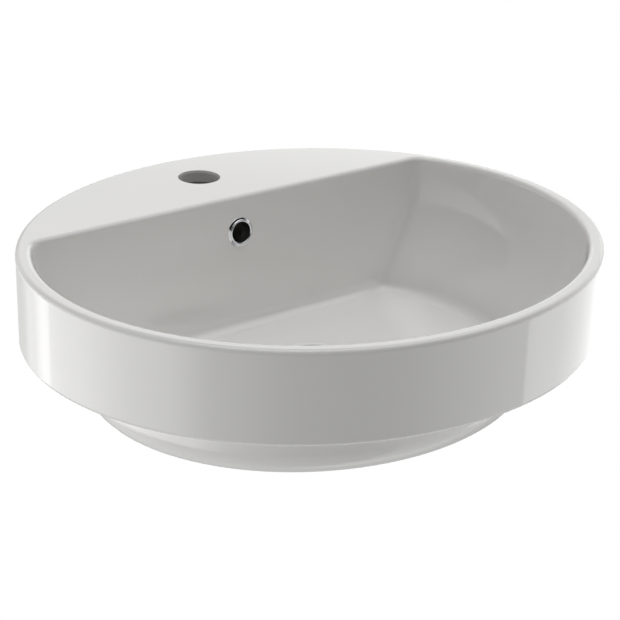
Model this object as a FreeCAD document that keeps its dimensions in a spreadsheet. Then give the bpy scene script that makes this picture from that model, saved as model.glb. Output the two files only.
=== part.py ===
"""Semi recessed basin: an oval vitreous china drum that stands on a worktop, with its bowl
sunk through a cut-out, a slotted click-clack waste and a chromed overflow ring.

Frame: millimetres, +Z up, origin at the centre of the oval on the worktop plane, which is
the underside of the drum. -Y is the front (user) side, +Y the tap deck, and +X is to the
right for someone who looks along +Y. The waste is drawn closed, with its plug down.
"""

import FreeCAD, Part
import os
import re
import Sketcher

os.makedirs("parts", exist_ok=True)
doc = FreeCAD.newDocument("SemiRecessedBasin")
V = FreeCAD.Vector

# ---------------------------------------------------------------------------- driving sizes
SIZES = {
    # drum above the worktop
    "half_width": 230.0,  # half length of the oval along X, at the rim
    "half_depth": 208.4,  # half length of the oval along Y, at the rim
    "rim_height": 70.0,  # worktop to rim
    "rim_round": 3.5,  # outer rounding of the rim
    "foot_round": 2.5,  # rounding where the drum meets the worktop
    "drum_wall": 9.0,  # china behind the drum's face
    "ledge_thick": 9.0,  # seat ring that rests on the worktop
    "ledge_reach": 26.0,  # width of the seat ring
    "deck_thick": 13.0,  # china of the tap deck
    # recessed part below the worktop
    "recess_step": 46.2,  # drum outline to the outline of the recessed part
    "recess_depth": 52.0,  # worktop to the base
    "base_round": 20.0,  # rounding at the base
    "access_half": 112.0,  # half width of the open pocket below the tap deck
    # bowl
    "bowl_depth": 109.0,  # rim to floor
    "rim_land": 12.0,  # rim width at the top of the bowl wall
    "wall_out_a": 15.2,  # outline to bowl wall, at the depths named fall_a to fall_d
    "wall_out_b": 20.4,
    "wall_out_c": 29.5,
    "wall_out_d": 51.0,
    "wall_out_e": 62.0,  # outline to the outer skin, at the floor's height
    "fall_a": 23.0,
    "fall_b": 39.5,
    "fall_c": 57.5,
    "fall_d": 88.0,
    "rear_shift": 6.5,  # the bowl's oval moves back by this much at the floor
    "skin": 8.5,  # china of the bowl
    "back_wall": 101.1,  # Y of the bowl's rear wall where it meets the rim plane
    "back_lean": 6.5,  # degrees by which the rear wall leans forward as it goes down
    "bowl_round": 13.0,  # rear corners of the bowl, and wall to floor
    "edge_round": 4.0,  # inner rounding of the rim and of the deck's front edge
    # outlet
    "outlet_back": -5.0,  # Y of the outlet's axis
    "outlet_bore": 46.0,
    "dish_wide": 75.0,  # shallow recess round the outlet
    "dish_fall": 3.0,
    "boss_wide": 92.0,  # outlet boss below the base
    "boss_drop": 22.0,  # base to the underside of the boss
    # tap hole and overflow
    "tap_hole": 35.0,
    "tap_back": 158.0,  # Y of the tap hole
    "overflow_fall": 29.7,  # rim to the centre of the overflow
    "overflow_bore": 21.4,
    "duct_wide": 26.0,  # overflow passage
    "duct_deep": 12.0,
    "duct_wall": 7.0,
    "duct_lift": 8.0,  # underside of the boss to the passage's floor
    # overflow ring and its sleeve
    "trim_wide": 24.2,
    "trim_hole": 17.4,
    "trim_thick": 1.8,
    "collar_wall": 0.9,
    "collar_long": 9.0,
    "sleeve_set": 0.3,  # ring's face to the sleeve
    "slit_play": 0.2,
    "sleeve_wall": 0.8,
    "sleeve_long": 10.0,
    "fit": 0.1,  # radial play of parts that push together by hand
    # waste body
    "flange_wide": 63.0,
    "flange_thick": 2.2,
    "flange_edge": 0.65,  # bevel of the flange's edges
    "flange_mouth": 54.0,  # the flange's shallow dish, over its top edge
    "throat_wide": 40.4,  # the dish's lower edge
    "throat_fall": 1.4,
    "throat_deep": 4.0,  # flange top to the start of the bore
    "tail_wide": 41.9,  # 1 1/4 inch pipe thread, over the crests
    "tail_bore": 36.8,
    "body_long": 70.0,
    "slot_wide": 28.0,
    "slot_tall": 12.0,
    "groove_pitch": 2.4,  # thread drawn as closed grooves
    "groove_deep": 0.9,
    "groove_count": 13.0,
    "hub_drop": 36.0,  # flange top to the top of the hub
    "hub_tall": 6.0,
    "hub_wide": 14.0,
    "spoke_wide": 4.0,
    # seals and nut
    "seal_thick": 2.0,
    "seal_wide": 60.0,
    "washer_thick": 5.0,
    "washer_wide": 62.0,
    "washer_lip": 2.4,
    "lip_gap": 0.3,  # lip to the outlet's bore
    "slip_thick": 1.5,
    "slip_wide": 58.0,
    "nut_flats": 50.0,
    "nut_tall": 9.0,
    "nut_collar_wide": 57.0,
    "nut_collar_tall": 2.0,
    # click-clack cartridge
    "plug_travel": 8.0,
    "stud_wide": 8.0,
    "stud_below": 10.0,
    "stud_edge": 0.8,
    "locknut_flats": 13.0,
    "locknut_tall": 4.0,
    "core_collar_wide": 13.0,
    "core_collar_tall": 2.5,
    "core_post_wide": 7.0,
    "core_head_wide": 10.0,
    "core_head_tall": 1.6,
    "rotor_wide": 13.4,
    "rotor_tall": 4.0,
    "rotor_teeth": 6.0,
    "tooth_tall": 1.2,
    "play": 0.2,  # axial play in the cartridge
    "sleeve_out": 18.0,  # sliding sleeve of the cartridge
    "sleeve_in": 14.2,
    "sleeve_roof": 2.0,
    "clip_thick": 1.0,
    "clip_lift": 1.2,  # foot of the sleeve to the clip
    "clip_deep": 0.6,
    "clip_in": 8.6,
    "clip_gap": 3.0,
    "spring_wide": 11.0,
    "spring_wire": 1.0,
    "spring_tall": 10.0,
    "spring_turns": 4.0,
    # plug
    "cap_wide": 61.0,
    "cap_edge": 1.4,
    "cap_crown": 4.2,
    "cap_lift": 1.4,  # flange top to the underside of the cap
    "cap_skirt_gap": 0.8,  # skirt to the bore of the waste body
    "cap_skirt_thick": 1.8,
    "cap_skirt_tall": 7.0,
    "cap_boss_wide": 15.0,
    "stud_seat": 0.6,  # underside of the cap to the roof of its socket
    "ring_in": 43.6,  # sealing ring under the cap
    "ring_out": 50.4,
    "ring_gap": 0.1,  # ring to the flange's dish
}

sheet = doc.addObject("Spreadsheet::Sheet", "Sizes")
for row, (alias, number) in enumerate(SIZES.items(), start=1):
    sheet.set(f"A{row}", alias.replace("_", " "))
    sheet.set(f"B{row}", str(number))
    sheet.setAlias(f"B{row}", alias)
doc.recompute()


def size(text):
    """Write a formula in the sheet's names as an expression: every known name is bound."""
    bound = re.sub(r"[a-z_]+", lambda word: f"Sizes.{word[0]}" if word[0] in SIZES else word[0], text)
    return bound.replace(" ", "")


def number(text):
    """Value of a formula in the sheet's names, in millimetres or degrees."""
    return float(sheet.evalExpression(size(text)))


# ------------------------------------------------------------------------- derived levels
FLOOR = "( rim_height - bowl_depth )"
SEAT = f"( {FLOOR} - dish_fall )"
FLANGE_TOP = f"( {SEAT} + seal_thick + flange_thick )"
BASE = "( 0 - recess_depth )"
BOSS = f"( {BASE} - boss_drop )"
TAIL = f"( {FLANGE_TOP} - body_long )"
HUB = f"( {FLANGE_TOP} - hub_drop )"
SLEEVE_FOOT = f"( {HUB} + core_collar_tall + play )"
CLIP_FOOT = f"( {SLEEVE_FOOT} + clip_lift )"
CORE_HEAD = f"( {CLIP_FOOT} + clip_thick + plug_travel + rotor_tall + 2 * play )"
SPRING_FOOT = f"( {CORE_HEAD} + core_head_tall )"
SLEEVE_ROOF = f"( {SPRING_FOOT} + spring_tall )"
CAP_FOOT = f"( {FLANGE_TOP} + cap_lift )"
LEAN = "tan ( back_lean * 1 deg )"
BEHIND_FOOT = f"( {BASE} - base_round )"
BEHIND_TALL = f"( rim_height - {BEHIND_FOOT} )"
CROWN_PARTS = (0.96, 0.85, 0.7, 0.55, 0.4, 0.2)  # shares of the radius at the crown's points


# ------------------------------------------------------------------------------- helpers
def place(item, x="0", y="0", z="0", turn=0.0, axis=V(0, 0, 1)):
    """Bind the position of an object to the sheet and turn it about one axis."""
    item.Placement = FreeCAD.Placement(V(number(x), number(y), number(z)), FreeCAD.Rotation(axis, turn))
    item.setExpression("Placement.Base.x", size(x))
    item.setExpression("Placement.Base.y", size(y))
    item.setExpression("Placement.Base.z", size(z))
    return item


def box(name, length, width, height, x="0", y="0", z="0", turn=0.0, axis=V(1, 0, 0)):
    """Block with one corner at the given place."""
    item = doc.addObject("Part::Box", name)
    item.setExpression("Length", size(length))
    item.setExpression("Width", size(width))
    item.setExpression("Height", size(height))
    return place(item, x, y, z, turn, axis)


def rod(name, wide, tall, x="0", y="0", z="0", turn=0.0, axis=V(1, 0, 0)):
    """Upright cylinder of a diameter, standing at the given place."""
    item = doc.addObject("Part::Cylinder", name)
    item.setExpression("Radius", size(f"( {wide} ) / 2"))
    item.setExpression("Height", size(tall))
    return place(item, x, y, z, turn, axis)


def oval(name, inset, z, shift="0"):
    """Oval of the plan, drawn in by inset, at a height."""
    item = doc.addObject("Part::Ellipse", name)
    deeper = number("half_depth") > number("half_width")
    item.setExpression("MajorRadius", size(f"max( half_width ; half_depth ) - ( {inset} )"))
    item.setExpression("MinorRadius", size(f"min( half_width ; half_depth ) - ( {inset} )"))
    return place(item, y=shift, z=z, turn=90.0 if deeper else 0.0)


def prism(name, inset, low, high):
    """Upright oval block between two heights."""
    item = doc.addObject("Part::Extrusion", name)
    item.Base = oval(f"{name}Oval", inset, low)
    item.DirMode = "Custom"
    item.Dir = V(0, 0, 1)
    item.Solid = True
    item.setExpression("LengthFwd", size(f"( {high} ) - ( {low} )"))
    return item


def cut(name, base, tool):
    """Base less tool."""
    item = doc.addObject("Part::Cut", name)
    item.Base = base
    item.Tool = tool
    return item


def fuse(name, shapes):
    """One solid from several that overlap."""
    item = doc.addObject("Part::MultiFuse", name)
    item.Shapes = shapes
    item.Refine = True
    return item


def common(name, shapes):
    """What several solids share."""
    item = doc.addObject("Part::MultiCommon", name)
    item.Shapes = shapes
    return item


def rounded(name, base, radius, wanted):
    """Fillet of one radius on the edges that the test picks."""
    doc.recompute()
    amount = number(radius)
    item = doc.addObject("Part::Fillet", name)
    item.Base = base
    picked = [i for i, edge in enumerate(base.Shape.Edges, start=1) if wanted(edge)]
    item.Edges = [(i, amount, amount) for i in picked]
    return item


def level(edge, z, slack=0.01):
    """True where an edge lies flat at one height."""
    bounds = edge.BoundBox
    return abs(bounds.ZMin - z) < slack and abs(bounds.ZMax - z) < slack


def turned(name, points, x="0", y="0", z="0", turn=0.0, axis=V(1, 0, 0)):
    """Body turned about its Z axis from a closed outline of (radius, height) formulas."""
    body = doc.addObject("PartDesign::Body", name)
    plane = next(f for f in body.Origin.OriginFeatures if f.Role == "XZ_Plane")
    sketch = body.newObject("Sketcher::SketchObject", f"{name}Outline")
    sketch.AttachmentSupport = [(plane, "")]
    sketch.MapMode = "FlatFace"
    spots = [V(number(r), number(up), 0) for r, up in points]
    for spot, after in zip(spots, spots[1:] + spots[:1]):
        sketch.addGeometry(Part.LineSegment(spot, after), False)
    last = len(points) - 1
    for i in range(last + 1):
        sketch.addConstraint(Sketcher.Constraint("Coincident", i, 2, (i + 1) % (last + 1), 1))
    for i, (r, up) in enumerate(points):
        pin(sketch, i, "DistanceX", r, spots[i].x, -2)
        pin(sketch, i, "DistanceY", up, spots[i].y, -1)
    spin = body.newObject("PartDesign::Revolution", f"{name}Turn")
    spin.Profile = sketch
    spin.ReferenceAxis = (sketch, ["V_Axis"])
    spin.Angle = 360.0
    place(body, x, y, z, turn, axis)
    doc.recompute()
    return body


def pin(sketch, point, kind, formula, value, axis):
    """Hold one coordinate of an outline's point: on the axis, or at a bound distance."""
    if abs(value) < 1e-9:
        sketch.addConstraint(Sketcher.Constraint("PointOnObject", point, 1, axis))
        return
    index = sketch.addConstraint(Sketcher.Constraint(kind, -1, 1, point, 1, value))
    sketch.setExpression(f"Constraints[{index}]", size(formula))


def pocket_box(body, name, outline, tall, low):
    """Cut a rectangle, centred on the body's axis, out of the body between two heights."""
    half_x, half_y = outline
    plane = next(f for f in body.Origin.OriginFeatures if f.Role == "XY_Plane")
    sketch = body.newObject("Sketcher::SketchObject", f"{name}Outline")
    sketch.AttachmentSupport = [(plane, "")]
    sketch.MapMode = "FlatFace"
    x, y = number(half_x), number(half_y)
    ring = [V(-x, -y, 0), V(x, -y, 0), V(x, y, 0), V(-x, y, 0)]
    for spot, after in zip(ring, ring[1:] + ring[:1]):
        sketch.addGeometry(Part.LineSegment(spot, after), False)
    for i in range(4):
        sketch.addConstraint(Sketcher.Constraint("Coincident", i, 2, (i + 1) % 4, 1))
        sketch.addConstraint(Sketcher.Constraint("Horizontal" if i % 2 == 0 else "Vertical", i))
    for corner, kind, formula, value in (
        (2, "DistanceX", half_x, x),
        (2, "DistanceY", half_y, y),
        (0, "DistanceX", f"0 - ( {half_x} )", -x),
        (0, "DistanceY", f"0 - ( {half_y} )", -y),
    ):
        index = sketch.addConstraint(Sketcher.Constraint(kind, -1, 1, corner, 1, value))
        sketch.setExpression(f"Constraints[{index}]", size(formula))
    sketch.setExpression("AttachmentOffset.Base.z", size(low))
    sketch.AttachmentOffset = FreeCAD.Placement(V(0, 0, number(low)), FreeCAD.Rotation())
    hole = body.newObject("PartDesign::Pocket", name)
    hole.Profile = sketch
    hole.setExpression("Length", size(tall))
    hole.Reversed = True
    doc.recompute()
    return hole


# ------------------------------------------------------------------------------- the china
def wall_stations():
    """(inset, height, shift) of the bowl's ovals, from above the rim down to the floor."""
    wall = [
        ("rim_land", "0 - rim_land", "0"),
        ("rim_land", "0", "0"),
        ("wall_out_a", "fall_a", "0"),
        ("wall_out_b", "fall_b", "rear_shift * 0.05"),
        ("wall_out_c", "fall_c", "rear_shift * 0.3"),
        ("wall_out_d", "fall_d", "rear_shift"),
        ("wall_out_e", "bowl_depth", "rear_shift"),
    ]
    return [(inset, f"rim_height - ( {fall} )", shift) for inset, fall, shift in wall]


def shoulder_stations():
    """Ovals of the swelling that carries the bowl's wall from the seat ring to the recessed part."""
    return [
        ("ledge_reach", "ledge_thick / 2", "0"),
        ("ledge_reach + ( recess_step - ledge_reach ) * 0.28", "0 - recess_depth * 0.15", "rear_shift * 0.25"),
        ("ledge_reach + ( recess_step - ledge_reach ) * 0.7", "0 - recess_depth * 0.31", "rear_shift * 0.55"),
        ("recess_step + 1", "0 - recess_depth * 0.5", "rear_shift * 0.9"),
    ]


def wall_loft(name, stations):
    """Smooth solid through a stack of ovals."""
    rings = [oval(f"{name}Oval{i}", inset, z, shift) for i, (inset, z, shift) in enumerate(stations)]
    item = doc.addObject("Part::Loft", f"{name}Side")
    item.Sections = rings
    item.Solid = True
    return item


def front_of_back_wall(name, behind):
    """Large block whose rear face is the bowl's leaning rear wall, moved back by a wall."""
    reach = "( 2 * half_width )"
    item = box(
        name,
        f"2 * {reach}",
        reach,
        reach,
        x=f"0 - {reach}",
    )
    lean = number("back_lean")
    item.Placement = FreeCAD.Placement(V(0, 0, 0), FreeCAD.Rotation(V(1, 0, 0), -lean))
    item.setExpression("Placement.Rotation.Angle", size("0 - back_lean"))
    # the corner (Y = reach, mid height) of the block is carried to the wall's line at the rim
    sine = "sin ( back_lean * 1 deg )"
    cosine = "cos ( back_lean * 1 deg )"
    item.setExpression("Placement.Base.x", size(f"0 - {reach}"))
    item.setExpression(
        "Placement.Base.y",
        size(f"back_wall + ( {behind} ) / {cosine} - {reach} * {cosine} - {reach} / 2 * {sine}"),
    )
    item.setExpression(
        "Placement.Base.z",
        size(f"rim_height + {reach} * {sine} - {reach} / 2 * {cosine}"),
    )
    return item


def build_basin():
    """Drum, hollow back, bowl, overflow passage and outlet as one casting."""
    drum = prism("Drum", "0", "0", "rim_height")
    drum_top = rounded("DrumRimRound", drum, "rim_round", lambda e: level(e, number("rim_height")))
    drum_all = rounded("DrumFootRound", drum_top, "foot_round", lambda e: level(e, 0.0))

    recess = prism("Recess", "recess_step", BASE, "ledge_thick")
    recess_all = rounded("RecessRound", recess, "base_round", lambda e: level(e, number(BASE)))
    shoulder = wall_loft("Shoulder", shoulder_stations())
    outside = fuse("Outside", [drum_all, recess_all, shoulder])

    hollow = prism("HollowOval", "drum_wall", "ledge_thick", "rim_height - deck_thick")
    behind = leaning_box("Behind", "half_width", "skin", "half_depth", BEHIND_TALL, BEHIND_FOOT)
    deck_hollow = common("DeckHollow", [hollow, behind])
    pocket_oval = prism("PocketOval", "ledge_reach", f"{BASE} - 1", "ledge_thick + 1")
    pocket_block = box(
        "PocketBlock",
        "2 * access_half",
        "2 * half_depth",
        "2 * rim_height + 2 * recess_depth",
        x="0 - access_half",
        z=f"{BASE} - 2",
    )
    behind_low = leaning_box("BehindLow", "half_width", "skin", "half_depth", BEHIND_TALL, BEHIND_FOOT)
    pocket = common("Pocket", [pocket_oval, pocket_block, behind_low])
    shell = cut("Shell", cut("ShellHollow", outside, deck_hollow), pocket)

    duct_out = "( duct_deep + duct_wall + skin )"
    duct_half = "( duct_wide / 2 + duct_wall )"
    duct_run = box(
        "DuctRun",
        f"2 * {duct_half}",
        f"back_wall - ( rim_height - {BOSS} ) * {LEAN} + {duct_out} - outlet_back",
        "boss_drop + recess_depth / 4",
        x=f"0 - {duct_half}",
        y="outlet_back",
        z=BOSS,
    )
    leg_foot = f"( {BOSS} + duct_wall )"
    duct_leg = leaning_box(
        "DuctLeg",
        duct_half,
        "1",
        f"{duct_out} - 1",
        f"rim_height - deck_thick / 2 - {leg_foot}",
        leg_foot,
    )
    duct = [
        rounded(f"{part.Name}Round", part, "duct_wall * 0.8", is_duct_edge)
        for part in (duct_run, duct_leg)
    ]
    boss = rod("Boss", "boss_wide", "boss_drop + 2", y="outlet_back", z=BOSS)
    solid = fuse("Casting", [shell, *duct, boss])

    bowl_side = wall_loft("Bowl", wall_stations())
    bowl_sharp = common("BowlSharp", [bowl_side, front_of_back_wall("BowlFront", "0")])
    bowl = rounded("BowlVoid", bowl_sharp, "bowl_round", is_bowl_corner)

    dish = doc.addObject("Part::Cone", "Dish")
    dish.setExpression("Radius1", size("dish_wide / 2"))
    dish.setExpression("Radius2", size("dish_wide / 2 + 2 * dish_fall"))
    dish.setExpression("Height", size("dish_fall + 0.5"))
    place(dish, y="outlet_back", z=SEAT)
    bore = rod("OutletBore", "outlet_bore", "recess_depth + boss_drop", y="outlet_back", z=f"{BOSS} - 1")
    tap = rod("TapBore", "tap_hole", "2 * deck_thick", y="tap_back", z="rim_height - 1.5 * deck_thick")
    spill = rod("OverflowBore", "overflow_bore", "2 * skin + duct_deep", **on_overflow("0 - skin - duct_deep / 2"))
    run_bore = box(
        "DuctRunBore",
        "duct_wide",
        f"back_wall - ( rim_height - {BOSS} ) * {LEAN} + skin + duct_deep - outlet_back",
        "duct_deep",
        x="0 - duct_wide / 2",
        y="outlet_back",
        z=f"{BOSS} + duct_lift",
    )
    leg_bore = leaning_box(
        "DuctLegBore",
        "duct_wide / 2",
        "skin",
        "duct_deep",
        f"rim_height - overflow_fall + overflow_bore / 2 - {BOSS} - duct_lift",
        f"{BOSS} + duct_lift",
    )
    # one half is cut and rounded, then mirrored, because the basin is alike on both sides
    half = box(
        "LeftHalf",
        "2 * half_width",
        "4 * half_depth",
        "8 * rim_height",
        x="0 - 2 * half_width",
        y="0 - 2 * half_depth",
        z="0 - 4 * rim_height",
    )
    opened = cut("HalfBowl", common("HalfCasting", [solid, half]), common("HalfVoid", [bowl, half]))
    for tool in (dish, bore, spill, run_bore, leg_bore, tap):
        opened = cut(f"Half{tool.Name}", opened, tool)
    left = rounded("BasinLeft", opened, "edge_round", is_bowl_edge)
    right = doc.addObject("Part::Mirroring", "BasinRight")
    right.Source = left
    right.Normal = V(1, 0, 0)
    body = fuse("basin_body", [left, right])
    body.Label = "basin_body"
    return body


def leaning_box(name, half, behind, deep, tall, foot):
    """Block that leans with the bowl's rear wall, from one height up."""
    item = box(name, f"2 * ( {half} )", deep, f"( {tall} ) / cos ( back_lean * 1 deg )")
    lean = number("back_lean")
    item.Placement = FreeCAD.Placement(V(0, 0, 0), FreeCAD.Rotation(V(1, 0, 0), -lean))
    item.setExpression("Placement.Rotation.Angle", size("0 - back_lean"))
    item.setExpression("Placement.Base.x", size(f"0 - ( {half} )"))
    item.setExpression("Placement.Base.y", size(f"back_wall - ( rim_height - ( {foot} ) ) * {LEAN} + {behind}"))
    item.setExpression("Placement.Base.z", size(foot))
    return item


def is_duct_edge(edge):
    """Long outer edges of a leg of the overflow duct: the lowest or the rearmost ones."""
    bounds = edge.BoundBox
    long_run = bounds.YLength > 3 * number("duct_deep") and bounds.ZMax < number(BOSS) + 0.01
    long_leg = bounds.ZLength > 3 * number("duct_deep") and bounds.YMax > number("back_wall + skin")
    return bounds.XLength < 0.01 and (long_run or long_leg)


def is_bowl_corner(edge):
    """Edges round the floor and up the two rear corners; the seam of the side is left out."""
    bounds = edge.BoundBox
    rear = bounds.ZLength > number("bowl_depth") * 0.5 and bounds.YMin > number("half_depth") / 4
    return rear or level(edge, number(FLOOR))


def is_bowl_edge(edge):
    """Edges of the rim plane that bound the bowl, which leaves out the tap hole."""
    if not level(edge, number("rim_height")) or edge.BoundBox.XLength < 1.0:
        return False
    middle = edge.valueAt((edge.FirstParameter + edge.LastParameter) / 2)
    inside = number("half_width - rim_land / 2")
    across = (middle.x / inside) ** 2 + (middle.y / (inside - number("half_width - half_depth"))) ** 2
    return across < 1.0 and middle.y < number("back_wall") + 1.0


# ------------------------------------------------------------------- overflow ring and sleeve
def on_overflow(out):
    """Place of a piece on the overflow's axis, out from the bowl's rear wall by a distance."""
    return {
        "y": f"back_wall - overflow_fall * {LEAN} - ( {out} ) * cos ( back_lean * 1 deg )",
        "z": f"rim_height - overflow_fall + ( {out} ) * sin ( back_lean * 1 deg )",
        "turn": 90.0 - number("back_lean"),
    }


def build_overflow_ring():
    """Chromed ring with a rounded face, and the collar that holds it in the hole."""
    edge = "( trim_thick * 0.35 )"
    body = turned(
        "overflow_ring",
        [
            ("trim_hole / 2", "0 - collar_long"),
            ("trim_hole / 2 + collar_wall", "0 - collar_long"),
            ("trim_hole / 2 + collar_wall", "0"),
            ("trim_wide / 2", "0"),
            ("trim_wide / 2", f"trim_thick - 2 * {edge}"),
            (f"trim_wide / 2 - {edge}", f"trim_thick - {edge} / 2"),
            ("( trim_wide + trim_hole ) / 4", "trim_thick"),
            (f"trim_hole / 2 + {edge}", f"trim_thick - {edge} / 2"),
            ("trim_hole / 2", f"trim_thick - 2 * {edge}"),
        ],
        **on_overflow("0"),
    )
    body.Label = "overflow_ring"
    return body


def build_overflow_sleeve():
    """Plastic sleeve with four slits, pinched between the ring's collar and the china."""
    inner = "( trim_hole / 2 + collar_wall + fit / 2 )"
    outer = "( overflow_bore / 2 - fit / 2 )"
    body = turned(
        "overflow_sleeve",
        [
            (inner, "0 - sleeve_long - sleeve_set"),
            (f"{inner} + sleeve_wall", "0 - sleeve_long - sleeve_set"),
            (f"{inner} + sleeve_wall", "0 - sleeve_long * 0.65"),
            (outer, "0 - sleeve_long * 0.5"),
            (outer, "0 - sleeve_set"),
            (inner, "0 - sleeve_set"),
        ],
        **on_overflow("0"),
    )
    for i, (wide, deep) in enumerate((("sleeve_wall", "overflow_bore"), ("overflow_bore", "sleeve_wall"))):
        pocket_box(
            body,
            f"SleeveSlit{i}",
            (f"{wide} / 2 + slit_play", f"{deep} / 2 + slit_play"),
            "sleeve_long * 0.6",
            "0 - sleeve_long - sleeve_set - slit_play",
        )
    body.Label = "overflow_sleeve"
    return body


# ------------------------------------------------------------------------------ waste body
def build_waste_body():
    """Flanged tube with a cone for the plug, overflow slots, thread grooves and a bridge hub."""
    tail = "tail_wide / 2"
    bore = "tail_bore / 2"
    points = [
        (bore, f"{TAIL} - ( {FLANGE_TOP} )"),
        (f"{tail} - groove_deep", f"{TAIL} - ( {FLANGE_TOP} )"),
    ]
    for i in range(int(number("groove_count"))):
        low = f"{TAIL} - ( {FLANGE_TOP} ) + groove_pitch * ( {i} + 0.25 )"
        points += [
            (f"{tail} - groove_deep", low),
            (tail, f"{low} + groove_pitch * 0.25"),
            (tail, f"{low} + groove_pitch * 0.5"),
            (f"{tail} - groove_deep", f"{low} + groove_pitch * 0.75"),
        ]
    points += [
        (tail, f"{TAIL} - ( {FLANGE_TOP} ) + groove_pitch * ( groove_count + 0.75 )"),
        (tail, "0 - flange_thick - 1"),
        (f"{tail} + 1", "0 - flange_thick"),
        ("flange_wide / 2 - flange_edge", "0 - flange_thick"),
        ("flange_wide / 2", "0 - flange_thick + flange_edge"),
        ("flange_wide / 2", "0 - flange_edge"),
        ("flange_wide / 2 - flange_edge", "0"),
        ("flange_mouth / 2", "0"),
        ("throat_wide / 2", "0 - throat_fall"),
        (bore, "0 - throat_deep"),
    ]
    tube = turned("WasteTube", points, y="outlet_back", z=FLANGE_TOP)
    slot = box(
        "WasteSlot",
        "slot_wide",
        "2 * tail_wide",
        "slot_tall",
        x="0 - slot_wide / 2",
        y="outlet_back - tail_wide",
        z=f"{BOSS} + duct_lift",
    )
    hub = rod("WasteHub", "hub_wide", "hub_tall", y="outlet_back", z=f"{HUB} - hub_tall")
    spokes = [
        box(
            f"WasteSpoke{i}",
            along,
            across,
            "hub_tall * 0.7",
            x=f"0 - ( {along} ) / 2",
            y=f"outlet_back - ( {across} ) / 2",
            z=f"{HUB} - hub_tall",
        )
        for i, (along, across) in enumerate((("tail_bore + 1", "spoke_wide"), ("spoke_wide", "tail_bore + 1")))
    ]
    bored = rod("WasteStudBore", "stud_wide + 2 * fit", "4 * hub_tall", y="outlet_back", z=f"{HUB} - 2 * hub_tall")
    whole = fuse("WasteWhole", [cut("WasteSlotted", tube, slot), hub, *spokes])
    body = cut("waste_body", whole, bored)
    body.Label = "waste_body"
    return body


# ------------------------------------------------------------------------ seals, washer, nut
def ring(name, inner, outer, low, high):
    """Plain ring on the outlet's axis, between two heights."""
    body = turned(
        name,
        [(inner, "0"), (outer, "0"), (outer, f"{high} - ( {low} )"), (inner, f"{high} - ( {low} )")],
        y="outlet_back",
        z=low,
    )
    body.Label = name
    return body


def build_outlet_washer():
    """Tapered rubber washer below the boss, with a lip in the outlet's bore."""
    inner = "tail_wide / 2 + fit"
    body = turned(
        "outlet_washer",
        [
            (inner, "0"),
            ("washer_wide / 2", "0"),
            ("washer_wide / 2", "washer_thick * 0.6"),
            ("washer_wide / 2 - washer_thick * 0.4", "washer_thick"),
            ("outlet_bore / 2 - lip_gap", "washer_thick"),
            (f"( {inner} + outlet_bore / 2 - lip_gap ) / 2", "washer_thick + washer_lip"),
            (inner, "washer_thick + washer_lip"),
        ],
        y="outlet_back",
        z=f"{BOSS} - washer_thick",
    )
    body.Label = "outlet_washer"
    return body


def hexagon(name, flats, tall, z):
    """Upright hexagonal prism on the outlet's axis."""
    item = doc.addObject("Part::Prism", name)
    item.Polygon = 6
    item.setExpression("Circumradius", size(f"{flats} / 2 / cos ( 30 deg )"))
    item.setExpression("Height", size(tall))
    return place(item, y="outlet_back", z=z)


def chamfered_hexagon(name, flats, tall, z):
    """Hexagon whose corners are turned off at both ends."""
    prism_item = hexagon(f"{name}Hex", flats, tall, z)
    wide = f"{flats} / 2 / cos ( 30 deg )"
    drop = f"( {wide} - {flats} / 2 ) * 0.6"
    turned_item = turned(
        f"{name}Turned",
        [
            ("0", "0"),
            (f"{flats} / 2", "0"),
            (wide, drop),
            (wide, f"{tall} - {drop}"),
            (f"{flats} / 2", tall),
            ("0", tall),
        ],
        y="outlet_back",
        z=z,
    )
    return common(f"{name}Solid", [prism_item, turned_item])


def build_backnut():
    """Hexagonal nut with a collar that bears on the slip washer."""
    top = f"( {BOSS} - washer_thick - slip_thick )"
    hexed = chamfered_hexagon("NutHex", "nut_flats", "nut_tall", f"{top} - nut_collar_tall - nut_tall")
    collar = rod("NutCollar", "nut_collar_wide", "nut_collar_tall", y="outlet_back", z=f"{top} - nut_collar_tall")
    bore = rod("NutBore", "tail_wide + 2 * fit", "2 * nut_tall", y="outlet_back", z=f"{top} - 1.6 * nut_tall")
    body = cut("backnut", fuse("NutWhole", [hexed, collar]), bore)
    body.Label = "backnut"
    return body


# --------------------------------------------------------------------- click-clack cartridge
def build_core():
    """Fixed core: stud through the hub, collar on the hub, post and head that keep the rotor."""
    post = "core_post_wide / 2"
    body = turned(
        "cartridge_core",
        [
            ("0", "0 - hub_tall - stud_below"),
            ("stud_wide / 2 - stud_edge", "0 - hub_tall - stud_below"),
            ("stud_wide / 2", "stud_edge - hub_tall - stud_below"),
            ("stud_wide / 2", "0"),
            ("core_collar_wide / 2", "0"),
            ("core_collar_wide / 2", "core_collar_tall"),
            (post, "core_collar_tall"),
            (post, f"{CORE_HEAD} - ( {HUB} )"),
            ("core_head_wide / 2", f"{CORE_HEAD} - ( {HUB} )"),
            ("core_head_wide / 2", f"{SPRING_FOOT} - ( {HUB} )"),
            ("0", f"{SPRING_FOOT} - ( {HUB} )"),
        ],
        y="outlet_back",
        z=HUB,
    )
    body.Label = "cartridge_core"
    return body


def build_locknut():
    """Nut below the hub that locks the cartridge's stud."""
    hexed = chamfered_hexagon("LockHex", "locknut_flats", "locknut_tall", f"{HUB} - hub_tall - locknut_tall")
    bore = rod(
        "LockBore",
        "stud_wide + fit",
        "3 * locknut_tall",
        y="outlet_back",
        z=f"{HUB} - hub_tall - 2 * locknut_tall",
    )
    body = cut("stud_locknut", hexed, bore)
    body.Label = "stud_locknut"
    return body


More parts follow.
